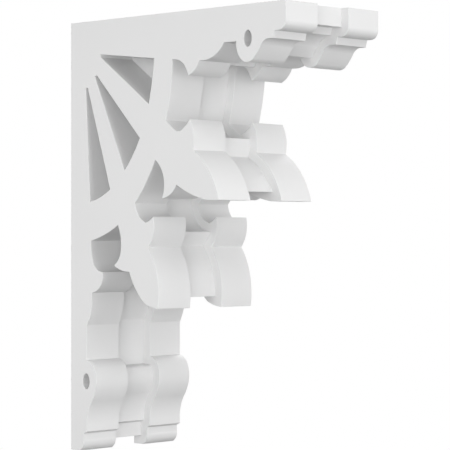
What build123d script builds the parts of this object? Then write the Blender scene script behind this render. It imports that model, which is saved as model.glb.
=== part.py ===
"""A three-ply fretwork corbel for under an eave, in millimetres.

Two outer plies share one scroll-cut outline: an arm along the top, a leg
down the wall, a pierced quarter ring between them and two petals that
reach out of the ring. The core ply between them is the same outline cut
back by a constant reveal, but flush where it meets the wall and the
soffit, and it closes the openings inside the ring from behind.

Frame: the origin is the middle of the wall face. The corbel reaches out
along -Y, z is up and x runs across the plies.

Outlines are drawn in the ply's own plane, where the first number is the
distance out from the wall and the second is the height above the foot.
"""
import os

from build123d import *

# Driving dimensions
WIDTH = 139.7
PROJECTION = 311.0
HEIGHT = 457.2
PLY_COUNT = 3
REVEAL = 9.5

PLY = WIDTH / PLY_COUNT

# Arm: heights of its underside, from the fascia back to the ring
FASCIA_LOW = 438.0
FILLET_LOW = 428.6
LEDGE_LOW = 421.3
QUARTER_LOW = 405.5

# Leg: how far its front stands off the wall, from the toe up to the ring
TOE_OUT = 14.0
FOOT_OUT = 20.6
SHIN_OUT = 25.2
CALF_OUT = 33.5

# Ring: corners where its rim meets the arm, the petals and the leg
RING_AT_ARM = (154.9, 409.0)
RING_AT_UPPER_PETAL = (145.0, 347.3)
RING_TOP_CROTCH = (129.8, 307.4)
RING_LOW_CROTCH = (99.6, 263.2)
RING_AT_LOWER_PETAL = (73.5, 240.5)
RING_AT_LEG = (32.3, 224.1)

# Fan of openings inside the ring: its corners on the ring's inner rim
FAN_AT_ARM = (128.2, 411.8)
FAN_AT_LEG = (30.5, 265.6)

# Oval holes through the outer plies
HOLE_ACROSS = 10.4
HOLE_TALL = 16.6
ARM_HOLE = (260.2, 423.3)
LEG_HOLE = (24.2, 74.4)


def arcs(*points):
    """A run of arcs, each from one point through the next to the one after."""
    starts = range(0, len(points) - 2, 2)
    return [ThreePointArc(*points[start : start + 3]) for start in starts]


def lines(*points):
    """A run of straight edges."""
    return [Line(start, end) for start, end in zip(points, points[1:])]


def arm_front(top):
    """Fascia from the given height, its rounded lower edge, fillet and ledge."""
    fascia = (PROJECTION, FASCIA_LOW)
    fillet = (302.4, FILLET_LOW)
    return (
        lines((PROJECTION, top), fascia)
        + arcs(fascia, (308.4, 431.4), fillet)
        + lines(fillet, (296.4, FILLET_LOW), (294.6, LEDGE_LOW), (286.5, LEDGE_LOW))
    )


def arm_scrolls():
    """Nose with its ogee, the quarter round behind it and the hooked cusp."""
    nose_front = (286.5, LEDGE_LOW)
    nose_back = (244.5, LEDGE_LOW)
    quarter_front = (227.8, LEDGE_LOW)
    quarter_back = (202.0, QUARTER_LOW)
    hook = (193.4, QUARTER_LOW + 0.2)
    cusp = (178.0, 391.4)
    cove = arcs(nose_front, (281.5, 419.4), (277.5, 415.0))
    nose = arcs((277.5, 415.0), (273.1, 408.9), (268.0, 403.3))
    nose += arcs((268.0, 403.3), (258.9, 400.1), (250.4, 404.0))
    nose += arcs((250.4, 404.0), (245.6, 411.9), nose_back)
    quarter_round = arcs(quarter_front, (217.6, 411.2), quarter_back)
    hooked = arcs(hook, (187.3, 397.1), cusp, (175.1, 397.2), (171.8, 402.7))
    hooked += arcs((171.8, 402.7), (164.8, 407.3), RING_AT_ARM)
    return (
        cove
        + nose
        + lines(nose_back, quarter_front)
        + quarter_round
        + lines(quarter_back, hook)
        + hooked
    )


def upper_petal():
    """Ring rim down to the upper petal, then the petal and its ears."""
    gap_start = (157.4, 337.6)
    gap_end = (169.2, 337.6)
    ear = (179.8, 347.3)
    notch = (184.6, 315.8)
    petal_tip = (220.7, 265.0)
    petal_flat = (206.0, 265.0)
    crotch = (160.6, 281.3)
    lower_ear = (139.5, 267.4)
    rim = arcs(RING_AT_ARM, (152.7, 382.1), RING_AT_UPPER_PETAL)
    gap = lines(RING_AT_UPPER_PETAL, gap_start)
    gap += arcs(gap_start, (163.3, 335.6), gap_end, (174.8, 341.8), ear)
    front = arcs(ear, (185.5, 331.0), notch, (206.2, 295.6), petal_tip)
    underside = lines(petal_tip, petal_flat)
    underside += arcs(petal_flat, (183.0, 270.6), crotch, (151.6, 271.7), lower_ear)
    back = arcs(lower_ear, (142.3, 286.8), RING_TOP_CROTCH)
    return rim + gap + front + underside + back


def lower_petal():
    """Ring rim between the petals, then the lower petal and its ears."""
    gap_low = (115.3, 243.0)
    ear = (127.0, 249.3)
    waist = (119.8, 217.6)
    petal_tip = (133.8, 153.9)
    heel = (113.3, 159.6)
    corner = (90.6, 191.7)
    lower_ear = (67.4, 198.3)
    rim = arcs(RING_TOP_CROTCH, (116.2, 284.3), RING_LOW_CROTCH)
    gap = arcs(RING_LOW_CROTCH, (104.2, 251.4), gap_low, (121.6, 245.2), ear)
    front = arcs(ear, (127.9, 236.0), waist, (131.4, 192.6), petal_tip)
    underside = arcs(petal_tip, (123.2, 155.7), heel, (100.6, 173.5), corner)
    underside += arcs(corner, (79.2, 193.0), lower_ear)
    back = arcs(lower_ear, (74.2, 204.4), (78.1, 216.0))
    back += arcs((78.1, 216.0), (77.5, 228.0), RING_AT_LOWER_PETAL)
    return rim + gap + front + underside + back


def leg_scrolls():
    """Ring rim down to the leg, then the hollow, the spur and the calf."""
    hollow_side = (35.2, 201.5)
    spur = (50.2, 191.1)
    calf_top = (CALF_OUT, 168.9)
    calf_low = (CALF_OUT, 161.0)
    rim = arcs(RING_AT_LOWER_PETAL, (54.3, 231.0), RING_AT_LEG)
    hollow = arcs(RING_AT_LEG, (32.3, 212.5), hollow_side, (40.4, 194.3), spur)
    calf = arcs(spur, (46.2, 175.9), calf_top) + lines(calf_top, calf_low)
    calf += arcs(calf_low, (31.4, 147.8), (SHIN_OUT, 133.8))
    return rim + hollow + calf


def leg_front():
    """Shin, the round knee with its ogee, and the stepped foot."""
    knee_top = (SHIN_OUT, 97.2)
    knee_front = (37.4, 87.6)
    knee_low = (38.7, 65.5)
    ogee_middle = (32.1, 52.0)
    ogee_low = (SHIN_OUT, 28.0)
    shin = lines((SHIN_OUT, 133.8), knee_top)
    knee = arcs(knee_top, (32.8, 94.0), knee_front, (40.1, 77.5), knee_low)
    ogee = arcs(knee_low, (36.0, 58.8), ogee_middle, (27.4, 42.0), ogee_low)
    step = lines(ogee_low, (SHIN_OUT, 20.8), (FOOT_OUT, 18.6), (FOOT_OUT, 12.0))
    toe = arcs((FOOT_OUT, 12.0), (18.6, 3.6), (TOE_OUT, 0))
    return shin + knee + ogee + step + toe


def outline(carried=0.0):
    """The edges of an outer ply, clockwise from the toe.

    The wall and top sides can be carried past the corbel by some distance.
    """
    top = HEIGHT + carried
    wall_and_top = lines((TOE_OUT, 0), (-carried, 0), (-carried, top), (PROJECTION, top))
    return (
        wall_and_top
        + arm_front(top)
        + arm_scrolls()
        + upper_petal()
        + lower_petal()
        + leg_scrolls()
        + leg_front()
    )


def ray(tip_low, tip_high, far_high, rim, far_low):
    """One opening between two spokes, blunt at the tip, arched at the rim."""
    sides = lines(far_low, tip_low, tip_high, far_high)
    return make_face(sides + arcs(far_high, rim, far_low))


def rays():
    """The three openings that fan out of the corner inside the ring."""
    return [
        ray((47.0, 418.0), (46.8, 420.9), FAN_AT_ARM, (124.8, 388.5), (120.1, 365.3)),
        ray((38.2, 397.6), (40.4, 399.6), (106.6, 330.6), (95.9, 312.8), (83.9, 297.6)),
        ray((23.8, 386.6), (26.6, 386.6), (61.5, 278.2), (46.8, 270.4), FAN_AT_LEG),
    ]


def oval_hole(place):
    """A small upright oval hole."""
    return Pos(*place) * Ellipse(HOLE_ACROSS / 2, HOLE_TALL / 2)


def outer_face():
    """The pierced face that both outer plies share."""
    face = make_face(outline())
    for opening in rays():
        face -= opening
    return face - oval_hole(ARM_HOLE) - oval_hole(LEG_HOLE)


def mitres(edges):
    """Kites that square out the inside corners of an inset outline.

    An inset keeps its distance from an inside corner along an arc. Each kite
    spans the corner, the ends of that arc and the point where the two inset
    sides would meet.
    """
    kites = []
    for edge, following in zip(edges, edges[1:]):
        corner, arriving, leaving = edge @ 1, edge % 1, following % 0
        if arriving.cross(leaving).Z < 0.2:
            continue
        first = Vector(arriving.Y, -arriving.X) * REVEAL
        second = Vector(leaving.Y, -leaving.X) * REVEAL
        meeting = (first + second) / (1 + arriving.dot(leaving))
        corners = [corner, corner + first, corner + meeting, corner + second, corner]
        kites.append(make_face(lines(*corners)))
    return kites


def core_face():
    """The outer face cut back by the reveal, but not at the wall or the top.

    The outline is first carried past the wall and the top, so that moving
    every edge inward leaves those two sides flush once it is trimmed. It is
    not pierced: it closes the fan of openings and the small holes behind.
    """
    edges = outline(carried=3 * REVEAL)
    face = offset(make_face(edges), amount=-REVEAL, kind=Kind.ARC)
    for kite in mitres(edges):
        face -= kite
    return face & (Pos(PROJECTION / 2, HEIGHT / 2) * Rectangle(PROJECTION, HEIGHT))


def ply(face, position):
    """One board, counted from the left side of the corbel."""
    right_side = -WIDTH / 2 + PLY * (position + 1)
    foot = (right_side, 0, -HEIGHT / 2)
    board_plane = Plane(origin=foot, x_dir=(0, -1, 0), z_dir=(-1, 0, 0))
    return extrude(board_plane * face, amount=PLY)


def main():
    os.makedirs("parts", exist_ok=True)
    pierced = outer_face()
    export_step(ply(pierced, 0), "parts/left_ply.step")
    export_step(ply(core_face(), 1), "parts/core_ply.step")
    export_step(ply(pierced, 2), "parts/right_ply.step")


if __name__ == "__main__":
    main()
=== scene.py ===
"""Studio scene of a fretwork corbel made of three glued boards.

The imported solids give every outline. Each board is remade here from its
solid as a clean mesh with eased arrises, and gets the finish of white foamed
board: a finely pebbled skin on its faces and faint cutter marks on its edges.

Frame: metres, origin at the middle of the wall face, +Y into the wall, +Z up.
"""

from __future__ import annotations

import logging
import math
from dataclasses import dataclass, field
from enum import Enum

import bmesh
import bpy
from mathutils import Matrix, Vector

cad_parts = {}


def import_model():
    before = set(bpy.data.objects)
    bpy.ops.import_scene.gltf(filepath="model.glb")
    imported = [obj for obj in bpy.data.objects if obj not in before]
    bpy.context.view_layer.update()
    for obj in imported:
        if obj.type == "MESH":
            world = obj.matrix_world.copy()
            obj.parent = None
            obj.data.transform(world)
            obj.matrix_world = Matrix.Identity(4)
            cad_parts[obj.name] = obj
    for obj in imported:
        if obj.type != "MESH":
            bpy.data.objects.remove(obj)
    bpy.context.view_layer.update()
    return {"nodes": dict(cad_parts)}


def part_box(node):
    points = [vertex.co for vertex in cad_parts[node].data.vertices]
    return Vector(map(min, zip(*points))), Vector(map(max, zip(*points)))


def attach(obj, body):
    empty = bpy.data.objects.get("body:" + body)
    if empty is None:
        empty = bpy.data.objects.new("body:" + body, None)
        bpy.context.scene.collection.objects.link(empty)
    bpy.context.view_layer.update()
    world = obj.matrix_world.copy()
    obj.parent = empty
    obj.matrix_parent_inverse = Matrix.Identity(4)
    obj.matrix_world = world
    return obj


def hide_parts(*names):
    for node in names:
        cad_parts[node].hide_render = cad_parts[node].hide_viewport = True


log = logging.getLogger("corbel")

IMAGE_SIZE = 450
SENSOR_WIDTH = 36.0
ROOT_BODY = "root"


class Ply(Enum):
    """The three boards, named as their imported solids."""

    LEFT = "left_ply"
    CORE = "core_ply"
    RIGHT = "right_ply"


class Socket(Enum):
    """Kinds of socket that a shader group can have."""

    VALUE = "NodeSocketFloat"
    VECTOR = "NodeSocketVector"


@dataclass(frozen=True)
class BoardFinish:
    """White foamed board as it leaves the router, unpainted.

    Colours are linear. Depths and pitches are in metres.
    """

    name: str
    slot: str
    colour: tuple[float, float, float]
    shade: tuple[float, float, float]
    skin_roughness: float
    cut_roughness: float
    pebble_pitch: float
    chatter_pitch: float
    relief_depth: float
    relief_strength: float = 0.6
    refractive_index: float = 1.5


OUTER_FINISH = BoardFinish(
    name="white_board_outer",
    slot="outer_ply",
    colour=(0.755, 0.755, 0.755),
    shade=(0.725, 0.725, 0.725),
    skin_roughness=0.48,
    cut_roughness=0.62,
    pebble_pitch=0.0024,
    chatter_pitch=0.0019,
    relief_depth=0.00005,
)
CORE_FINISH = BoardFinish(
    name="white_board_core",
    slot="core_ply",
    colour=(0.76, 0.76, 0.76),
    shade=(0.73, 0.73, 0.73),
    skin_roughness=0.50,
    cut_roughness=0.62,
    pebble_pitch=0.0024,
    chatter_pitch=0.0022,
    relief_depth=0.00005,
)


class ShaderGraph:
    """A thin hand on a node tree: adds nodes, sets their sockets, joins them."""

    def __init__(self, tree: bpy.types.NodeTree) -> None:
        """Takes over a node tree and empties it.

        Args:
            tree: the node tree of a material, a world or a shader group.
        """
        self.tree = tree
        self.tree.nodes.clear()

    def add(self, kind: str, settings: dict | None = None, **sockets) -> bpy.types.Node:
        """Adds one node.

        Args:
            kind: the node's type, without its ShaderNode prefix where it has one.
            settings: properties to set on the node itself.
            **sockets: values or output sockets for its inputs, by name, with
                underscores for spaces.

        Returns:
            The new node.
        """
        prefix = "" if kind.startswith("Node") else "ShaderNode"
        node = self.tree.nodes.new(prefix + kind)
        for name, value in (settings or {}).items():
            setattr(node, name, value)
        for name, value in sockets.items():
            self.feed(node.inputs[name.replace("_", " ")], value)
        return node

    def feed(self, socket: bpy.types.NodeSocket, value) -> None:
        """Links an output to an input, or sets the input's own value.

        Args:
            socket: the input to feed.
            value: an output socket, or a plain value.
        """
        if isinstance(value, bpy.types.NodeSocket):
            self.tree.links.new(value, socket)
        else:
            socket.default_value = value

    def math(self, operation: str, first, second=0.0) -> bpy.types.NodeSocket:
        """A maths node on two values or sockets.

        Args:
            operation: Blender's name of the operation.
            first: first value or socket.
            second: second value or socket.

        Returns:
            The node's output socket.
        """
        node = self.add("Math", {"operation": operation})
        self.feed(node.inputs[0], first)
        self.feed(node.inputs[1], second)
        return node.outputs[0]

    def mix_value(self, factor, low, high) -> bpy.types.NodeSocket:
        """A value that goes from low to high as the factor goes from 0 to 1."""
        node = self.add("Mix", {"data_type": "FLOAT"})
        for index, value in ((0, factor), (2, low), (3, high)):
            self.feed(node.inputs[index], value)
        return node.outputs[0]

    def mix_colour(self, factor, low, high) -> bpy.types.NodeSocket:
        """A colour that goes from low to high as the factor goes from 0 to 1."""
        node = self.add("Mix", {"data_type": "RGBA"})
        for index, value in ((0, factor), (6, low), (7, high)):
            self.feed(node.inputs[index], value)
        return node.outputs[2]


class BoardSurface:
    """The shader group that every board shares: skin, cutter marks and tone."""

    NAME = "board_surface"
    INPUTS = {
        "Position": Socket.VECTOR,
        "Facing": Socket.VECTOR,
        "Pebble Scale": Socket.VALUE,
        "Chatter Scale": Socket.VALUE,
    }
    OUTPUTS = {"Height": Socket.VALUE, "Cut": Socket.VALUE, "Tone": Socket.VALUE}
    MOTTLE_SCALE = 11.0
    FACE_TURN = 0.9
    EDGE_TURN = 0.4
    CHATTER_STRETCH = (0.03, 1.0, 1.0)

    def group(self) -> bpy.types.NodeTree:
        """Returns the group, and builds it the first time."""
        found = bpy.data.node_groups.get(self.NAME)
        return found or self._build()

    def _build(self) -> bpy.types.NodeTree:
        """Builds the group.

        Returns:
            A node tree that puts out the height of the relief from 0 to 1, a
            mask of the cut edges, and a broad mottling of the tone.
        """
        tree = bpy.data.node_groups.new(self.NAME, "ShaderNodeTree")
        for name, kind in self.INPUTS.items():
            tree.interface.new_socket(name, in_out="INPUT", socket_type=kind.value)
        for name, kind in self.OUTPUTS.items():
            tree.interface.new_socket(name, in_out="OUTPUT", socket_type=kind.value)
        graph = ShaderGraph(tree)
        given = graph.add("NodeGroupInput").outputs
        cut = self._cut_mask(graph, given["Facing"])
        pebble = self._pebble(graph, given["Position"], given["Pebble Scale"])
        chatter = self._chatter(graph, given["Position"], given["Chatter Scale"])
        mottle = graph.add("TexNoise", Vector=given["Position"], Detail=3.0, Roughness=0.45)
        mottle.inputs["Scale"].default_value = self.MOTTLE_SCALE
        out = graph.add("NodeGroupOutput")
        graph.feed(out.inputs["Height"], graph.mix_value(cut, pebble, chatter))
        graph.feed(out.inputs["Cut"], cut)
        graph.feed(out.inputs["Tone"], mottle.outputs["Fac"])
        return tree

    def _cut_mask(self, graph: ShaderGraph, facing) -> bpy.types.NodeSocket:
        """1 on edges cut through the board, 0 on its two faces, which turn to x."""
        split = graph.add("SeparateXYZ", Vector=facing)
        across = graph.math("ABSOLUTE", split.outputs["X"])
        ramp = graph.add("MapRange", {"interpolation_type": "SMOOTHSTEP"}, Value=across)
        ramp.inputs["From Min"].default_value = self.FACE_TURN
        ramp.inputs["From Max"].default_value = self.EDGE_TURN
        return ramp.outputs["Result"]

    def _pebble(self, graph: ShaderGraph, position, scale) -> bpy.types.NodeSocket:
        """The fine pebbling that the rollers leave in the board's skin."""
        noise = graph.add("TexNoise", Vector=position, Scale=scale, Detail=2.0, Roughness=0.5)
        return noise.outputs["Fac"]

    def _chatter(self, graph: ShaderGraph, position, scale) -> bpy.types.NodeSocket:
        """Cutter marks that run straight through the board's thickness."""
        flat = graph.add("VectorMath", {"operation": "MULTIPLY"})
        graph.feed(flat.inputs[0], position)
        flat.inputs[1].default_value = self.CHATTER_STRETCH
        noise = graph.add(
            "TexNoise", Vector=flat.outputs[0], Scale=scale, Detail=3.0, Roughness=0.6
        )
        return noise.outputs["Fac"]


class BoardMaterial:
    """Turns a finish into a material on a board."""

    def __init__(self, finish: BoardFinish) -> None:
        """Takes a finish to work from.

        Args:
            finish: the colours, roughness and relief to use.
        """
        self.finish = finish

    def make(self) -> bpy.types.Material:
        """Builds the material.

        Returns:
            A material whose colour, roughness and bump follow the board's own
            coordinates.
        """
        finish = self.finish
        material = bpy.data.materials.new(finish.name)
        material.use_nodes = True
        material.diffuse_color = (*finish.colour, 1.0)
        graph = ShaderGraph(material.node_tree)
        place = graph.add("TexCoord")
        surface = graph.add("Group", {"node_tree": BoardSurface().group()})
        graph.feed(surface.inputs["Position"], place.outputs["Object"])
        graph.feed(surface.inputs["Facing"], place.outputs["Normal"])
        surface.inputs["Pebble Scale"].default_value = 1.0 / finish.pebble_pitch
        surface.inputs["Chatter Scale"].default_value = 1.0 / finish.chatter_pitch
        tone = surface.outputs["Tone"]
        colour = graph.mix_colour(tone, (*finish.shade, 1.0), (*finish.colour, 1.0))
        roughness = graph.mix_value(
            surface.outputs["Cut"], finish.skin_roughness, finish.cut_roughness
        )
        bump = graph.add("Bump", Distance=finish.relief_depth, Height=surface.outputs["Height"])
        bump.inputs["Strength"].default_value = finish.relief_strength
        shader = graph.add("BsdfPrincipled", IOR=finish.refractive_index)
        graph.feed(shader.inputs["Base Color"], colour)
        graph.feed(shader.inputs["Roughness"], roughness)
        graph.feed(shader.inputs["Normal"], bump.outputs["Normal"])
        out = graph.add("OutputMaterial")
        graph.feed(out.inputs["Surface"], shader.outputs["BSDF"])
        return material


@dataclass
class CurvedWalls:
    """Rounds out the walls that the solid gives as runs of flat facets.

    Facets of one arc have the same length, which tells them from a straight
    wall that runs into the arc.
    """

    mesh: bmesh.types.BMesh
    cuts: int = 3
    least_turn: float = math.radians(1.5)
    most_turn: float = math.radians(32)
    same_length: float = 0.03
    post_share: float = 0.99

    def round_out(self) -> int:
        """Cuts each facet of an arc into narrow ones and moves them onto the arc.

        Returns:
            The number of facets that were cut.
        """
        circles = {}
        mark = self.mesh.edges.layers.int.new("facet")
        rails = []
        for wall in list(self.mesh.faces):
            circle = self._circle(wall)
            if circle is None:
                continue
            circles[len(circles) + 1] = circle
            for rail in self._rails(wall):
                rail[mark] = len(circles)
                rails.append(rail)
        bmesh.ops.subdivide_edges(self.mesh, edges=rails, cuts=self.cuts)
        for vertex in self.mesh.verts:
            marks = {edge[mark] for edge in vertex.link_edges} - {0}
            on_rail = sum(edge[mark] > 0 for edge in vertex.link_edges)
            if len(marks) == 1 and on_rail == 2:
                self._move_onto(vertex, *circles[marks.pop()])
        self.mesh.edges.layers.int.remove(mark)
        return len(circles)

    def _rails(self, wall: bmesh.types.BMFace) -> list[bmesh.types.BMEdge]:
        """The two edges of a wall that follow the outline."""
        return [edge for edge in wall.edges if not self._is_post(edge)]

    def _is_post(self, edge: bmesh.types.BMEdge) -> bool:
        """Whether an edge runs straight through the thickness of the board."""
        run = edge.verts[0].co - edge.verts[1].co
        return abs(run.x) > self.post_share * run.length

    def _circle(self, wall: bmesh.types.BMFace) -> tuple[Vector, float] | None:
        """The circle that a facet belongs to.

        Args:
            wall: a face of the board.

        Returns:
            The centre, on the plane x = 0, and the radius, or None where the
            face isn't a facet of an arc.
        """
        posts = [edge for edge in wall.edges if self._is_post(edge)]
        if len(wall.verts) != 4 or len(posts) != 2:
            return None
        places = [self._place(post) for post in posts]
        for near, far in ((0, 1), (1, 0)):
            beyond = self._next_place(posts[near], wall)
            if beyond is None:
                continue
            step = (places[near] - beyond).length
            length = (places[0] - places[1]).length
            if abs(step - length) < self.same_length * length:
                return self._through(beyond, places[near], places[far])
        return None

    def _place(self, post: bmesh.types.BMEdge) -> Vector:
        """Where a post stands in the plane of the outline."""
        return Vector((0.0, post.verts[0].co.y, post.verts[0].co.z))

    def _next_place(self, post: bmesh.types.BMEdge, wall: bmesh.types.BMFace) -> Vector | None:
        """Where the next post stands, past a post that turns a little.

        Args:
            post: one of the wall's two posts.
            wall: the facet to start from.

        Returns:
            The place of the neighbouring wall's far post, or None.
        """
        turn = abs(post.calc_face_angle(0.0))
        if not self.least_turn < turn < self.most_turn:
            return None
        neighbour = next(face for face in post.link_faces if face != wall)
        others = [edge for edge in neighbour.edges if self._is_post(edge) and edge != post]
        if len(neighbour.verts) != 4 or len(others) != 1:
            return None
        return self._place(others[0])

    def _through(self, first: Vector, second: Vector, third: Vector) -> tuple[Vector, float]:
        """The centre and radius of the circle through three places."""
        along, across = second - first, third - first
        normal = along.cross(across)
        rise = across * along.length_squared - along * across.length_squared
        centre = first + rise.cross(normal) / (2 * normal.length_squared)
        return centre, (centre - first).length

    def _move_onto(self, vertex: bmesh.types.BMVert, centre: Vector, radius: float) -> None:
        """Moves a new vertex straight out from the centre onto the circle."""
        height = Vector((vertex.co.x, 0.0, 0.0))
        outward = (vertex.co - height - centre).normalized()
        vertex.co = centre + outward * radius + height


@dataclass
class Board:
    """One scroll-cut board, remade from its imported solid.

    Its open arrises are eased, and where two boards lie flush the joint
    between them is a hairline groove. Widths are in metres, angles in radians.
    """

    ply: Ply
    finish: BoardFinish
    solid: bpy.types.Object
    arris: float = 0.0004
    groove: float = 0.00015
    arris_segments: int = 3
    weld: float = 0.000002
    near: float = 0.00002
    flat_angle: float = math.radians(0.4)
    smooth_angle: float = math.radians(32)
    sharp_angle: float = math.radians(35)
    face_weight: int = 90

    def build(self) -> bpy.types.Object:
        """Makes the board's mesh and dresses it.

        Returns:
            The finished board, riding on the root body in place of its solid.
        """
        board = bpy.data.objects.new(self.ply.value + "_board", self.solid.data.copy())
        bpy.context.scene.collection.objects.link(board)
        self._select_only(board)
        self._clean(board)
        self._refine(board)
        self._ease_arrises(board)
        self._shade(board)
        board.data.materials.clear()
        board.data.materials.append(BoardMaterial(self.finish).make())
        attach(board, ROOT_BODY)
        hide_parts(self.ply.value)
        log.info("%s: %d faces", board.name, len(board.data.polygons))
        return board

    def _select_only(self, board: bpy.types.Object) -> None:
        """Selects the board alone and makes it active."""
        bpy.ops.object.select_all(action="DESELECT")
        board.select_set(True)
        bpy.context.view_layer.objects.active = board

    def _clean(self, board: bpy.types.Object) -> None:
        """Welds the loose triangles and joins those that lie in one plane."""
        if board.data.has_custom_normals:
            bpy.ops.mesh.customdata_custom_splitnormals_clear()
        bpy.ops.object.mode_set(mode="EDIT")
        bpy.ops.mesh.select_mode(type="VERT")
        bpy.ops.mesh.select_all(action="SELECT")
        bpy.ops.mesh.remove_doubles(threshold=self.weld)
        bpy.ops.mesh.dissolve_limited(angle_limit=self.flat_angle)
        bpy.ops.mesh.select_all(action="DESELECT")
        bpy.ops.object.mode_set(mode="OBJECT")

    def _refine(self, board: bpy.types.Object) -> None:
        """Rounds out the curved walls and marks the arrises for easing."""
        bpy.ops.object.mode_set(mode="EDIT")
        mesh = bmesh.from_edit_mesh(board.data)
        facets = CurvedWalls(mesh).round_out()
        weight = mesh.edges.layers.float.new("bevel_weight_edge")
        mesh.normal_update()
        low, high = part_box(self.ply.value)
        for edge in mesh.edges:
            if edge.is_manifold and edge.calc_face_angle_signed(0.0) >= self.sharp_angle:
                edge[weight] = self._easing(edge, low, high)
        bmesh.update_edit_mesh(board.data)
        bpy.ops.object.mode_set(mode="OBJECT")
        log.info("%s: %d facets rounded out", board.name, facets)

    def _easing(self, edge: bmesh.types.BMEdge, low: Vector, high: Vector) -> float:
        """How wide an arris is eased, as a share of the full width.

        Args:
            edge: a sharp edge of the board.
            low: the lowest corner of the board's solid.
            high: the highest corner of the board's solid.

        Returns:
            1 for an open arris, less for a glue joint at the wall or the top,
            and 0 where the core meets a side that stands proud of it.
        """
        glued = {Ply.LEFT: [high.x], Ply.CORE: [low.x, high.x], Ply.RIGHT: [low.x]}
        if not any(self._lies_on(edge, 0, side) for side in glued[self.ply]):
            return 1.0
        if self._lies_on(edge, 1, high.y) or self._lies_on(edge, 2, high.z):
            return self.groove / self.arris
        return 0.0 if self.ply is Ply.CORE else 1.0

    def _lies_on(self, edge: bmesh.types.BMEdge, axis: int, place: float) -> bool:
        """Whether both ends of an edge lie on the plane across an axis at a place."""
        return all(abs(vertex.co[axis] - place) < self.near for vertex in edge.verts)

    def _ease_arrises(self, board: bpy.types.Object) -> None:
        """Rounds the marked arrises with a fine bevel."""
        bpy.ops.object.modifier_add(type="BEVEL")
        easing = board.modifiers[-1]
        easing.limit_method = "WEIGHT"
        easing.offset_type = "OFFSET"
        easing.width = self.arris
        easing.segments = self.arris_segments
        easing.use_clamp_overlap = False
        easing.miter_outer = "MITER_SHARP"
        easing.miter_inner = "MITER_SHARP"
        bpy.ops.object.modifier_apply(modifier=easing.name)

    def _shade(self, board: bpy.types.Object) -> None:
        """Smooths the curves and keeps the faces flat up to their arrises."""
        bpy.ops.object.shade_smooth_by_angle(angle=self.smooth_angle)
        bpy.ops.object.modifier_add(type="WEIGHTED_NORMAL")
        weighted = board.modifiers[-1]
        weighted.mode = "FACE_AREA"
        weighted.weight = self.face_weight
        weighted.keep_sharp = True
        bpy.ops.object.modifier_apply(modifier=weighted.name)


@dataclass
class Corbel:
    """The three boards of the corbel, side by side."""

    solids: dict[str, bpy.types.Object]
    finishes: dict[Ply, BoardFinish] = field(
        default_factory=lambda: {
            Ply.LEFT: OUTER_FINISH,
            Ply.CORE: CORE_FINISH,
            Ply.RIGHT: OUTER_FINISH,
        }
    )

    def build(self) -> list[bpy.types.Object]:
        """Builds every board.

        Returns:
            The finished boards, from left to right.
        """
        return [
            Board(ply, self.finishes[ply], self.solids[ply.value]).build() for ply in Ply
        ]


@dataclass(frozen=True)
class Lamp:
    """A square soft light that faces the corbel.

    It stands some degrees round from the camera, to the camera's right, and
    some degrees up from level. Power is in watts, size and distance in metres.
    """

    name: str
    bearing: float
    rise: float
    power: float
    size: float = 1.1
    distance: float = 2.2


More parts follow.
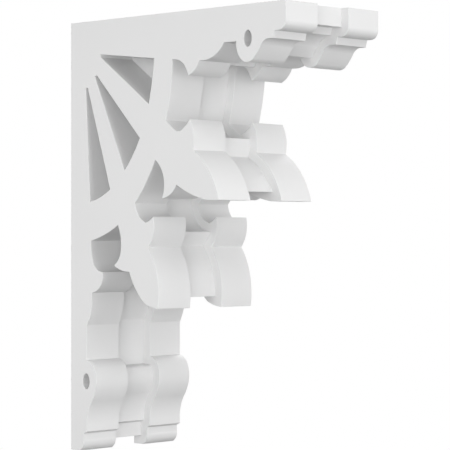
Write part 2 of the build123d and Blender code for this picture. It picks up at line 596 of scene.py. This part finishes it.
@dataclass
class Studio:
    """Camera, floor, soft lamps and white surroundings, fitted to the photograph.

    The floor gives little light back, so that the undersides stay dark.
    """

    target: tuple[float, float, float] = (0.0, -0.1555, 0.0)
    azimuth: float = math.radians(45.95)
    distance: float = 2.072
    focal_pixels: float = 1985.0
    centre_pixel: tuple[float, float] = (220.4, 236.5)
    floor_height: float = -2.4
    floor_size: float = 16.0
    floor_colour: float = 0.15
    floor_glow: float = 1.4
    floor_glow_share: float = 0.6
    ambient: float = 0.5
    ambient_seen: float = 1.0
    lamps: tuple[Lamp, ...] = (
        Lamp("key", -20.0, 0.0, 18.0),
        Lamp("side_fill", -90.0, 0.0, 8.5),
        Lamp("front", 45.0, 0.0, 8.4),
        Lamp("front_high", 45.0, 50.0, 9.0),
        Lamp("front_low", 45.0, -25.0, 6.0),
        Lamp("front_lowest", 45.0, -50.0, 2.0),
        Lamp("far_fill", 90.0, 25.0, 5.3),
        Lamp("beside_camera", 0.0, 0.0, 7.2, size=0.3, distance=2.3),
        Lamp("behind", 165.0, 30.0, 26.0),
    )

    def build(self) -> None:
        """Sets the camera, the floor, the lamps and the world."""
        self._camera()
        self._floor()
        for lamp in self.lamps:
            self._lamp(lamp)
        self._world()
        bpy.context.scene.view_settings.view_transform = "Standard"

    def _camera(self) -> None:
        """A level camera that looks at the corbel's left front corner."""
        data = bpy.data.cameras.new("camera")
        data.sensor_width = SENSOR_WIDTH
        data.lens = self.focal_pixels * SENSOR_WIDTH / IMAGE_SIZE
        half = IMAGE_SIZE / 2
        data.shift_x = (half - self.centre_pixel[0]) / IMAGE_SIZE
        data.shift_y = (self.centre_pixel[1] - half) / IMAGE_SIZE
        camera = bpy.data.objects.new("camera", data)
        forward = Vector((math.sin(self.azimuth), math.cos(self.azimuth), 0.0))
        camera.location = Vector(self.target) - forward * self.distance
        camera.rotation_euler = forward.to_track_quat("-Z", "Y").to_euler()
        bpy.context.scene.collection.objects.link(camera)
        bpy.context.scene.camera = camera

    def _floor(self) -> None:
        """A dull floor far below the corbel, seen as white wherever it shows."""
        bpy.ops.object.select_all(action="DESELECT")
        bpy.ops.mesh.primitive_plane_add(
            size=self.floor_size, location=(0.0, 0.0, self.floor_height)
        )
        floor = bpy.context.object
        floor.name = "floor"
        material = bpy.data.materials.new("floor")
        material.use_nodes = True
        graph = ShaderGraph(material.node_tree)
        grey = self.floor_colour
        matt = graph.add("BsdfDiffuse", Color=(grey, grey, grey, 1.0))
        seen = graph.add("BsdfDiffuse", Color=(1.0, 1.0, 1.0, 1.0))
        glow = graph.add("Emission", Strength=self.floor_glow)
        white = graph.add("MixShader", Fac=self.floor_glow_share)
        graph.feed(white.inputs[1], seen.outputs[0])
        graph.feed(white.inputs[2], glow.outputs[0])
        choice = graph.add("MixShader", Fac=self._in_view(graph))
        graph.feed(choice.inputs[1], matt.outputs[0])
        graph.feed(choice.inputs[2], white.outputs[0])
        out = graph.add("OutputMaterial")
        graph.feed(out.inputs["Surface"], choice.outputs[0])
        floor.data.materials.append(material)

    def _lamp(self, lamp: Lamp) -> None:
        """Hangs one square lamp, turned to the corbel.

        Args:
            lamp: where it hangs, its size and its power.
        """
        data = bpy.data.lights.new(lamp.name, "AREA")
        data.shape = "SQUARE"
        data.size = lamp.size
        data.energy = lamp.power
        light = bpy.data.objects.new(lamp.name, data)
        heading = self.azimuth - math.radians(lamp.bearing)
        rise = math.radians(lamp.rise)
        level = Vector((-math.sin(heading), -math.cos(heading), 0.0))
        outward = level * math.cos(rise) + Vector((0.0, 0.0, math.sin(rise)))
        light.location = Vector(self.target) + outward * lamp.distance
        light.rotation_euler = (-outward).to_track_quat("-Z", "Y").to_euler()
        bpy.context.scene.collection.objects.link(light)

    def _world(self) -> None:
        """Even light from all round, seen by the camera as plain white."""
        world = bpy.data.worlds.new("studio")
        bpy.context.scene.world = world
        world.use_nodes = True
        graph = ShaderGraph(world.node_tree)
        strength = graph.mix_value(self._in_view(graph), self.ambient, self.ambient_seen)
        sky = graph.add("Background", Strength=strength)
        sky.inputs["Color"].default_value = (1.0, 1.0, 1.0, 1.0)
        out = graph.add("OutputWorld")
        graph.feed(out.inputs["Surface"], sky.outputs[0])

    def _in_view(self, graph: ShaderGraph) -> bpy.types.NodeSocket:
        """1 for rays from the camera, from gloss and through clear things."""
        rays = graph.add("LightPath").outputs
        shiny = graph.math("MAXIMUM", rays["Is Glossy Ray"], rays["Is Transmission Ray"])
        return graph.math("MAXIMUM", rays["Is Camera Ray"], shiny)


def main() -> None:
    """Builds the corbel and its studio, and reports each piece."""
    logging.basicConfig(level=logging.INFO, format="%(name)s: %(message)s")
    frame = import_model()
    boards = Corbel(frame["nodes"]).build()
    Studio().build()
    log.info("%d boards in place", len(boards))


if __name__ == "__main__":
    main()
